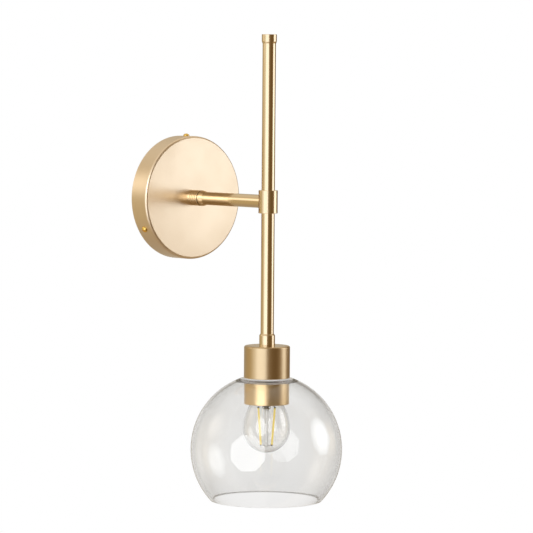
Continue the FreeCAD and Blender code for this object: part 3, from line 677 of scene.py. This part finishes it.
def joined(parts):
    deselectAll()
    for part in parts:
        part.select_set(True)
    bpy.context.view_layer.objects.active = parts[0]
    bpy.ops.object.join()
    return parts[0]


sticks = [roundedRod("bulbFilaments", *filamentEnds(side), filament["radius"]) for side in (-1, 1)]
fit(joined(sticks), "bulb", "filament_coating", filamentLook, "bulb_filaments")

leadMetal = brushed("leadMetal", (500, 500, 500), (0.34, 0.32, 0.29, 1), (0.16, 0.15, 0.13, 1),
                    cloud=0.6, rough=0.3, uneven=0.1, bump=0.1, distance=0.03)
wires = {"rootHeight": -194.0, "rootOut": 3.3, "loop": 1.5, "loopOut": 2.3, "loopHeight": -195.9,
         "loopTilt": 74, "loopLean": 16, "loopTwist": 18, "thick": 0.3, "overTop": 0.35,
         "tipThick": 0.22, "tipHeight": -232.4, "tipFrom": 1.6}


def filamentWires():
    # stiff wires to both ends of each filament, with a small curl beside the stem
    parts = []
    for side in (-1, 1):
        top, bottom = filamentEnds(side)
        across = (top - Vector((0, rodY, filament["top"]))).normalized()
        root = Vector((0, rodY, wires["rootHeight"])) + across * wires["rootOut"]
        over = top + Vector((0, 0, wires["overTop"]))
        parts.append(roundedRod("filamentWires", root, over, wires["thick"], 12))
        tip = Vector((0, rodY, wires["tipHeight"]))
        parts.append(roundedRod("filamentWires", tip + across * wires["tipFrom"],
                                tip + across * (filament["bottomOut"] - filament["radius"] - 0.1),
                                wires["tipThick"], 12))
        curl = Vector((0, rodY, wires["loopHeight"])) + across * wires["loopOut"]
        deselectAll()
        bpy.ops.mesh.primitive_torus_add(
            major_radius=wires["loop"] * mm, minor_radius=wires["thick"] * mm, major_segments=28,
            minor_segments=8, location=curl * mm,
            rotation=(math.radians(wires["loopTilt"]), math.radians(wires["loopLean"] * side),
                      math.radians(filament["turn"] + wires["loopTwist"] * side)))
        bpy.ops.object.transform_apply(location=True, rotation=True, scale=True)
        bpy.ops.object.shade_smooth()
        parts.append(bpy.context.object)
    return joined(parts)


fit(filamentWires(), "bulb", "lead_wire", leadMetal, "bulb_filament_leads")
print("the bulb is made")


ring = {"outer": 21.35, "inner": 19.85, "top": -172.5, "height": 20.2, "edge": 0.5,
        "turns": 7, "pitch": 2.5, "thread": 0.5, "firstTurn": 1.2, "flank": 0.9}


def ringSteps():
    bottom = ring["top"] - ring["height"]
    steps = [(ring["inner"], ring["top"]), (ring["outer"], ring["top"], ring["edge"]),
             (ring["outer"], bottom, ring["edge"]), (ring["inner"], bottom)]
    for turn in range(ring["turns"]):
        crest = bottom + ring["firstTurn"] + turn * ring["pitch"]
        steps += [(ring["inner"], crest), (ring["inner"] + ring["thread"], crest + ring["flank"]),
                  (ring["inner"], crest + 2 * ring["flank"])]
    return steps


shadeRing = turnPiece("shadeRing", rodAxis, ringSteps(), around=144)
fit(shadeRing, "shade_ring", "satin_brass", ringBrass, "shade_ring")
print("the ring nut is turned")


zinc = brushed("zincPlate", (300, 300, 300), (0.62, 0.63, 0.64, 1), (0.45, 0.46, 0.48, 1),
               cloud=0.6, rough=0.36, uneven=0.16, bump=0.12)
nickel = brushed("nickelPlate", (90, 90, 1600), (0.72, 0.70, 0.66, 1), (0.55, 0.53, 0.49, 1),
                 cloud=0.4, rough=0.22, uneven=0.1, bump=0.08, distance=0.04)
solder = moulded("solderDrop", 600.0, (0.58, 0.58, 0.58, 1), (0.42, 0.42, 0.43, 1),
                 rough=0.34, uneven=0.2, dust=0.05, bump=0.3, distance=0.1, metallic=1.0)
ceramic = moulded("whiteCeramic", 700.0, (0.80, 0.78, 0.73, 1), (0.70, 0.67, 0.61, 1),
                  rough=0.5, uneven=0.15, dust=0.1, bump=0.15, distance=0.08)
palePlastic = moulded("palePlastic", 1200.0, (0.72, 0.71, 0.66, 1), (0.64, 0.63, 0.57, 1),
                      rough=0.45, uneven=0.1, dust=0.12, bump=0.12, Subsurface_Weight=0.1)
# the washers get a faint painted glow (emission), which stands in for light that hardly reaches them
softSilicone = moulded("softSilicone", 1100.0, (0.90, 0.90, 0.89, 1), (0.82, 0.82, 0.80, 1),
                       rough=0.35, uneven=0.15, dust=0.0, bump=0.15,
                       Emission_Color=(0.9, 0.86, 0.86, 1), Emission_Strength=0.13)
darkGlass = moulded("darkGlass", 300.0, (0.02, 0.014, 0.012, 1), (0.035, 0.02, 0.016, 1),
                    rough=0.15, uneven=0.08, dust=0.05, bump=0.1, distance=0.1)
board = moulded("circuitBoard", 900.0, (0.55, 0.50, 0.30, 1), (0.30, 0.36, 0.16, 1),
                rough=0.45, uneven=0.15, dust=0.0, bump=0.2, distance=0.1)


def insulation(name, tint, deep):
    return moulded(name, 1300.0, tint, deep, rough=0.42, uneven=0.15, dust=0.06, bump=0.15)


finishes = {
    zinc: ["wall_plate", "terminal_block_screws", "earth_screw", "cover_lock_washer", "cover_locknut",
           "cover_nipple", "arm_end_nipple", "upper_nipple", "lower_nipple", "stem_nipple", "cup_lock_washer",
           "cup_locknut", "lampholder_terminal_screws"],
    nickel: ["earth_eyelet", "lampholder_screw_shell", "lampholder_contact_tongue", "bulb_base"],
    screwBrass: ["terminal_block_inserts", "lampholder_terminals"],
    ceramic: ["lampholder_core"],
    palePlastic: ["terminal_block", "lampholder_cap", "lampholder_skirt"],
    softSilicone: ["upper_shade_washer", "lower_shade_washer"],
    solder: ["bulb_contact"],
    darkGlass: ["bulb_insulator"],
    board: ["bulb_driver_board"],
    insulation("brownInsulation", (0.13, 0.055, 0.022, 1), (0.09, 0.035, 0.014, 1)): ["live_wire"],
    insulation("blueInsulation", (0.03, 0.13, 0.42, 1), (0.02, 0.09, 0.30, 1)): ["neutral_wire"],
    insulation("greenInsulation", (0.05, 0.30, 0.07, 1), (0.55, 0.50, 0.05, 1)): ["earth_wire"],
}
for material, names in finishes.items():
    for name in names:
        nodes[name].data.materials.clear()
        nodes[name].data.materials.append(material)
print("the inner pieces have their finishes")


cameraLook = {"lens": 202.63, "azimuth": -41.631, "pitch": 3.716, "roll": 0.426, "distance": 2849.746,
              "across": -1.159, "depth": -131.602, "height": -61.503}


def makeCamera():
    turn, tilt, roll = (math.radians(cameraLook[key]) for key in ("azimuth", "pitch", "roll"))
    back = Vector((math.sin(turn) * math.cos(tilt), -math.cos(turn) * math.cos(tilt), math.sin(tilt)))
    right = Vector((math.cos(turn), math.sin(turn), 0))
    up = back.cross(right)
    rolledRight = right * math.cos(roll) + up * math.sin(roll)
    rolledUp = up * math.cos(roll) - right * math.sin(roll)
    target = Vector((0, cameraLook["depth"], cameraLook["height"])) + right * cameraLook["across"]
    spot = (target + back * cameraLook["distance"]) * mm
    deselectAll()
    bpy.ops.object.camera_add(location=(0, 0, 0))
    camera = bpy.context.object
    turned = Matrix((rolledRight, rolledUp, back)).transposed().to_4x4()
    camera.matrix_world = Matrix.Translation(spot) @ turned
    camera.data.sensor_width = 36
    camera.data.lens = cameraLook["lens"]
    camera.data.clip_start, camera.data.clip_end = 0.05, 50
    bpy.context.scene.camera = camera


def reflectionOnly(card):
    # seen by metal and glass, but not by the camera or by plain surfaces, and it shades nothing
    card.visible_camera = False
    card.visible_diffuse = False
    card.visible_shadow = False


def straightThrough(tree):
    # 1 for what is looked at straight through glass, 0 for all that is mirrored in glass or metal
    ray = addNode(tree, "ShaderNodeLightPath")
    unmirrored = mathNode(tree, "LESS_THAN", ray.outputs["Glossy Depth"], 0.5)
    return mathNode(tree, "MULTIPLY", unmirrored, ray.outputs["Is Transmission Ray"])


def glow(name, colour, strength):
    # a lamp's face, which leaves the glass clear when it stands behind it
    material, tree = emptyMaterial(name)
    light = addNode(tree, "ShaderNodeEmission", Color=colour, Strength=strength)
    clear = addNode(tree, "ShaderNodeBsdfTransparent")
    both = addNode(tree, "ShaderNodeMixShader")
    out = addNode(tree, "ShaderNodeOutputMaterial")
    tree.links.new(straightThrough(tree), both.inputs[0])
    tree.links.new(light.outputs[0], both.inputs[1])
    tree.links.new(clear.outputs[0], both.inputs[2])
    tree.links.new(both.outputs[0], out.inputs[0])
    return material


def sheetGlow(name, colour, strength, near, far):
    # a clear sheet whose glow fades out towards its edge
    material, tree = emptyMaterial(name)
    light = addNode(tree, "ShaderNodeEmission", Color=colour)
    mirrored = mathNode(tree, "SUBTRACT", 1.0, straightThrough(tree))
    fading = fadeOut(tree, near, far, strength)
    tree.links.new(mathNode(tree, "MULTIPLY", fading, mirrored), light.inputs["Strength"])
    clear = addNode(tree, "ShaderNodeBsdfTransparent")
    both = addNode(tree, "ShaderNodeAddShader")
    out = addNode(tree, "ShaderNodeOutputMaterial")
    tree.links.new(clear.outputs[0], both.inputs[0])
    tree.links.new(light.outputs[0], both.inputs[1])
    tree.links.new(both.outputs[0], out.inputs[0])
    return material


def direction(aside, lift):
    # aside: degrees to the right of the camera as seen from the globe, lift: degrees up
    turn = math.radians(cameraLook["azimuth"] + aside)
    rise = math.radians(lift)
    return Vector((math.sin(turn) * math.cos(rise), -math.cos(turn) * math.cos(rise), math.sin(rise)))


studioMiddle = Vector((0, rodY * mm, -0.08))
glassPieces = bpy.data.collections.new("glassPieces")
for piece in (glassShade, bulbGlass, bulbStem):
    glassPieces.objects.link(piece)


def standUp(card, aside, lift, distance):
    way = direction(aside, lift)
    card.location = studioMiddle + way * distance
    card.rotation_euler = way.to_track_quat("Z", "Y").to_euler()


def octagonCard(name, aside, lift, distance, size):
    deselectAll()
    bpy.ops.mesh.primitive_circle_add(vertices=8, radius=size / 2 / math.cos(math.pi / 8), fill_type="NGON")
    bpy.ops.object.mode_set(mode="EDIT")
    bpy.ops.transform.rotate(value=math.pi / 8, orient_axis="Z", center_override=(0, 0, 0))
    bpy.ops.object.mode_set(mode="OBJECT")
    card = bpy.context.object
    card.name = name
    standUp(card, aside, lift, distance)
    card.visible_camera = False
    return card


def fadeOut(tree, near, far, strength):
    # full strength in the middle of a card, nothing at its edge
    place = addNode(tree, "ShaderNodeTexCoord")
    away = addNode(tree, "ShaderNodeVectorMath", {"operation": "LENGTH"})
    tree.links.new(place.outputs["Object"], away.inputs[0])
    fade = addNode(tree, "ShaderNodeMapRange", {"interpolation_type": "SMOOTHSTEP"})
    tree.links.new(away.outputs["Value"], fade.inputs[0])
    for index, number in enumerate((near, far, 1.0, 0.0)):
        fade.inputs[index + 1].default_value = number
    return mathNode(tree, "MULTIPLY", fade.outputs[0], strength)


def softbox(name, aside, lift, distance, size, strength, inGlass, softEdge=0.0):
    # the lamp itself, and a sheet before it that only the glass sees, as glass gives back so little of it;
    # softEdge: the share of the sheet's width over which its glow fades out at each side
    lamp = octagonCard(name, aside, lift, distance, size)
    lamp.data.materials.append(glow(name, (1, 1, 1, 1), strength))
    sheet = octagonCard(name + "Sheet", aside, lift, distance - 0.02, size)
    # without a soft edge the fading lies past the sheet's own edge
    near, far = (size * (0.5 - softEdge), size * 0.5) if softEdge else (size, size + 0.01)
    sheet.data.materials.append(sheetGlow(name + "Sheet", (1, 1, 1, 1), inGlass, near, far))
    sheet.light_linking.receiver_collection = glassPieces
    reflectionOnly(sheet)


def hazeLight(name, aside, lift, distance, size, colour, strength, seenIn=()):
    # a soft-edged glow for all that mirrors, or only for the pieces in seenIn
    deselectAll()
    bpy.ops.mesh.primitive_circle_add(vertices=48, radius=size, fill_type="NGON")
    card = bpy.context.object
    card.name = name
    standUp(card, aside, lift, distance)
    card.data.materials.append(sheetGlow(name, colour, strength, size * 0.15, size))
    if seenIn:
        pieces = bpy.data.collections.new(name + "Pieces")
        for piece in seenIn:
            pieces.objects.link(piece)
        card.light_linking.receiver_collection = pieces
    reflectionOnly(card)


studioRoom = {
    "radius": 2.4,
    # degrees up at which the plain ceiling and ground begin and take over
    "ceiling": (24, 50), "ground": (-26, -50),
    # degrees to the right of the camera, and what the metal and the glass see there
    "round": [(-180, (0.50, 0.44, 0.34)), (-150, (0.42, 0.37, 0.29)),
              (-104, (0.52, 0.40, 0.22)), (-88, (0.54, 0.43, 0.25)), (-72, (0.80, 0.72, 0.58)),
              (-56, (1.0, 0.96, 0.88)), (-14, (0.70, 0.62, 0.50)), (-2, (0.42, 0.33, 0.22)),
              (10, (0.24, 0.165, 0.09)), (30, (0.17, 0.107, 0.045)), (50, (0.15, 0.09, 0.035)),
              (66, (0.22, 0.145, 0.07)), (80, (0.45, 0.33, 0.20)), (108, (0.50, 0.37, 0.22)),
              (124, (0.22, 0.15, 0.08)), (156, (0.26, 0.20, 0.13)), (180, (0.50, 0.44, 0.34))],
    "darkFrom": (-18, 8), "darkTo": (84, 125), "darkKept": 0.85,
    # degrees away from straight behind the piece
    "greyFades": (35, 70), "greyLeft": 0.3, "whiteBeyond": (58, 75),
}


def spreadDegrees(tree, value, degrees, toLow=0.0, toHigh=1.0):
    return spread(tree, value, math.radians(degrees[0]), math.radians(degrees[1]), toLow, toHigh)


def makeRoom(name, ceiling, ground, backdrop):
    # the dim room round the set: metal and glass see it, the camera and the plain light don't
    deselectAll()
    bpy.ops.mesh.primitive_uv_sphere_add(segments=96, ring_count=48, radius=studioRoom["radius"],
                                         location=studioMiddle)
    room = bpy.context.object
    room.name = name
    room.rotation_euler = (0, 0, math.radians(cameraLook["azimuth"]))
    bpy.ops.object.shade_smooth()
    material, tree = emptyMaterial(name)
    across, along, up = splitPlace(tree)
    toCamera = mathNode(tree, "MULTIPLY", along, -1.0)
    aside = mathNode(tree, "ARCTAN2", across, toCamera)
    share = mathNode(tree, "MULTIPLY_ADD", aside, 0.5 / math.pi, 0.5)
    ramp = addNode(tree, "ShaderNodeValToRGB")
    stops = ramp.color_ramp.elements
    for index, (degrees, colour) in enumerate(studioRoom["round"]):
        spot = degrees / 360 + 0.5
        stop = stops[index] if index < 2 else stops.new(spot)
        stop.position = spot
        stop.color = (*colour, 1)
    tree.links.new(share, ramp.inputs[0])
    lift = mathNode(tree, "ARCSINE", mathNode(tree, "DIVIDE", up, studioRoom["radius"]))
    high = spreadDegrees(tree, lift, studioRoom["ceiling"])
    low = spreadDegrees(tree, lift, studioRoom["ground"])
    # high and low the room is plainer, but for the dark part on the right, which stays dark
    shadedFrom = spreadDegrees(tree, aside, studioRoom["darkFrom"])
    shadedTo = spreadDegrees(tree, aside, studioRoom["darkTo"], 1.0, 0.0)
    shaded = mathNode(tree, "MULTIPLY", shadedFrom, shadedTo)
    plainer = mathNode(tree, "MULTIPLY_ADD", shaded, -studioRoom["darkKept"], 1.0)
    grey = addNode(tree, "ShaderNodeRGBToBW")
    tree.links.new(ramp.outputs[0], grey.inputs[0])
    fromBehind = mathNode(tree, "SUBTRACT", math.pi, mathNode(tree, "ABSOLUTE", aside))
    greyShare = spreadDegrees(tree, fromBehind, studioRoom["greyFades"],
                              backdrop["grey"], backdrop["grey"] * studioRoom["greyLeft"])
    seen = mixColour(tree, greyShare, ramp.outputs[0], grey.outputs[0])
    seen = mixColour(tree, mathNode(tree, "MULTIPLY", high, plainer), seen, ceiling)
    seen = mixColour(tree, mathNode(tree, "MULTIPLY", low, plainer), seen, ground)
    # the white backdrop straight behind the piece, fading out to each side, upwards and downwards
    behind = None
    for where, key in ((fromBehind, "aside"), (lift, "up"), (lift, "down")):
        part = spreadDegrees(tree, where, backdrop[key], 1.0, 0.0)
        behind = part if behind is None else mathNode(tree, "MULTIPLY", behind, part)
    seen = mixColour(tree, behind, seen, (1, 1, 1, 1))
    # from other sides of the piece too, plain white stands behind the glass
    otherSides = spreadDegrees(tree, fromBehind, studioRoom["whiteBeyond"])
    seen = mixColour(tree, mathNode(tree, "MULTIPLY", otherSides, straightThrough(tree)), seen, (1, 1, 1, 1))
    light = addNode(tree, "ShaderNodeEmission", Strength=1.0)
    out = addNode(tree, "ShaderNodeOutputMaterial")
    tree.links.new(seen, light.inputs[0])
    tree.links.new(light.outputs[0], out.inputs[0])
    room.data.materials.append(material)
    reflectionOnly(room)
    return room


def makeStudio():
    lampsAt, glowsAt, white = 1.6, 1.7, (1.0, 1.0, 1.0, 1)
    softbox("octagonLight", -28.5, -5, lampsAt, size=1.55, strength=1.35, inGlass=2.1)
    softbox("sideLight", 95.5, 8, lampsAt, size=1.12, strength=1.45, inGlass=1.7, softEdge=0.28)
    hazeLight("hazeLight", -97, 19, glowsAt, size=0.6, colour=(1.0, 0.95, 0.90, 1), strength=0.92)
    # the collar and the ferrule are also seen by way of the cover, and the ring only through the globe
    hazeLight("collarGlow", 4, 13, glowsAt, size=0.8, colour=white, strength=2.1,
              seenIn=(armCollar, armFerrule, armTube, wallCover))
    hazeLight("ferruleGlow", -22, 16, glowsAt, size=0.9, colour=white, strength=2.1, seenIn=(wallCover,))
    hazeLight("ringGlow", -106, 0, glowsAt, size=1.3, colour=(1.0, 0.88, 0.70, 1), strength=0.4,
              seenIn=(glassShade,))
    hazeLight("ringSideGlow", 118, 0, glowsAt, size=0.6, colour=(1.0, 0.84, 0.60, 1), strength=0.7,
              seenIn=(glassShade,))
    metalRoom = makeRoom("metalRoom", (0.80, 0.70, 0.56, 1), (0.40, 0.29, 0.18, 1),
                         {"aside": (7, 15), "up": (-1, 5), "down": (-10, -18), "grey": 0.0})
    metalRoom.visible_transmission = False
    glassRoom = makeRoom("glassRoom", (0.45, 0.45, 0.44, 1), (0.55, 0.55, 0.54, 1),
                         {"aside": (24, 52), "up": (1, 13), "down": (-22, -40), "grey": 0.85})
    glassRoom.visible_glossy = False


floorLook = {"radius": 1.6, "height": -0.62, "whiteFrom": 0.45, "whiteTo": 1.3}


def makeFloor():
    # pale where the shadow falls, and plain white further out
    deselectAll()
    bpy.ops.mesh.primitive_circle_add(vertices=128, radius=floorLook["radius"], fill_type="NGON",
                                      location=(0, rodY * mm, floorLook["height"]))
    floor = bpy.context.object
    floor.name = "paleFloor"
    material, tree, shader = newMaterial("paleFloor")
    shader.inputs["Roughness"].default_value = 0.9
    shader.inputs["Specular IOR Level"].default_value = 0.1
    place = addNode(tree, "ShaderNodeTexCoord")
    speck = addNode(tree, "ShaderNodeTexNoise", Scale=40.0)
    tree.links.new(place.outputs["Object"], speck.inputs["Vector"])
    tree.links.new(mixColour(tree, speck.outputs[0], (0.90, 0.90, 0.90, 1), (0.93, 0.93, 0.93, 1)),
                   shader.inputs["Base Color"])
    away = addNode(tree, "ShaderNodeVectorMath", {"operation": "LENGTH"})
    tree.links.new(place.outputs["Object"], away.inputs[0])
    fade = spread(tree, away.outputs["Value"], floorLook["whiteFrom"], floorLook["whiteTo"])
    white = addNode(tree, "ShaderNodeEmission", Strength=1.0)
    blend = addNode(tree, "ShaderNodeMixShader")
    tree.links.new(fade, blend.inputs[0])
    tree.links.new(shader.outputs[0], blend.inputs[1])
    tree.links.new(white.outputs[0], blend.inputs[2])
    tree.links.new(blend.outputs[0], tree.nodes["Material Output"].inputs[0])
    floor.data.materials.append(material)
    floor.visible_glossy = False
    floor.visible_transmission = False


def makeWorld():
    # soft light on all sides, and plain white where it is looked at or mirrored
    world = bpy.data.worlds.new("studioWorld")
    bpy.context.scene.world = world
    world.use_nodes = True
    tree = world.node_tree
    tree.nodes.clear()
    ray = addNode(tree, "ShaderNodeLightPath")
    mirrored = mathNode(tree, "MAXIMUM", ray.outputs["Is Glossy Ray"], ray.outputs["Is Transmission Ray"])
    seen = mathNode(tree, "MAXIMUM", ray.outputs["Is Camera Ray"], mirrored)
    soft = addNode(tree, "ShaderNodeBackground", Color=(1, 1, 1, 1), Strength=0.72)
    white = addNode(tree, "ShaderNodeBackground", Color=(1, 1, 1, 1), Strength=1.0)
    blend = addNode(tree, "ShaderNodeMixShader")
    out = addNode(tree, "ShaderNodeOutputWorld")
    tree.links.new(seen, blend.inputs[0])
    tree.links.new(soft.outputs[0], blend.inputs[1])
    tree.links.new(white.outputs[0], blend.inputs[2])
    tree.links.new(blend.outputs[0], out.inputs[0])


makeCamera()
makeStudio()
makeFloor()
makeWorld()
bpy.context.scene.view_settings.view_transform = "Standard"
print("the studio is set")
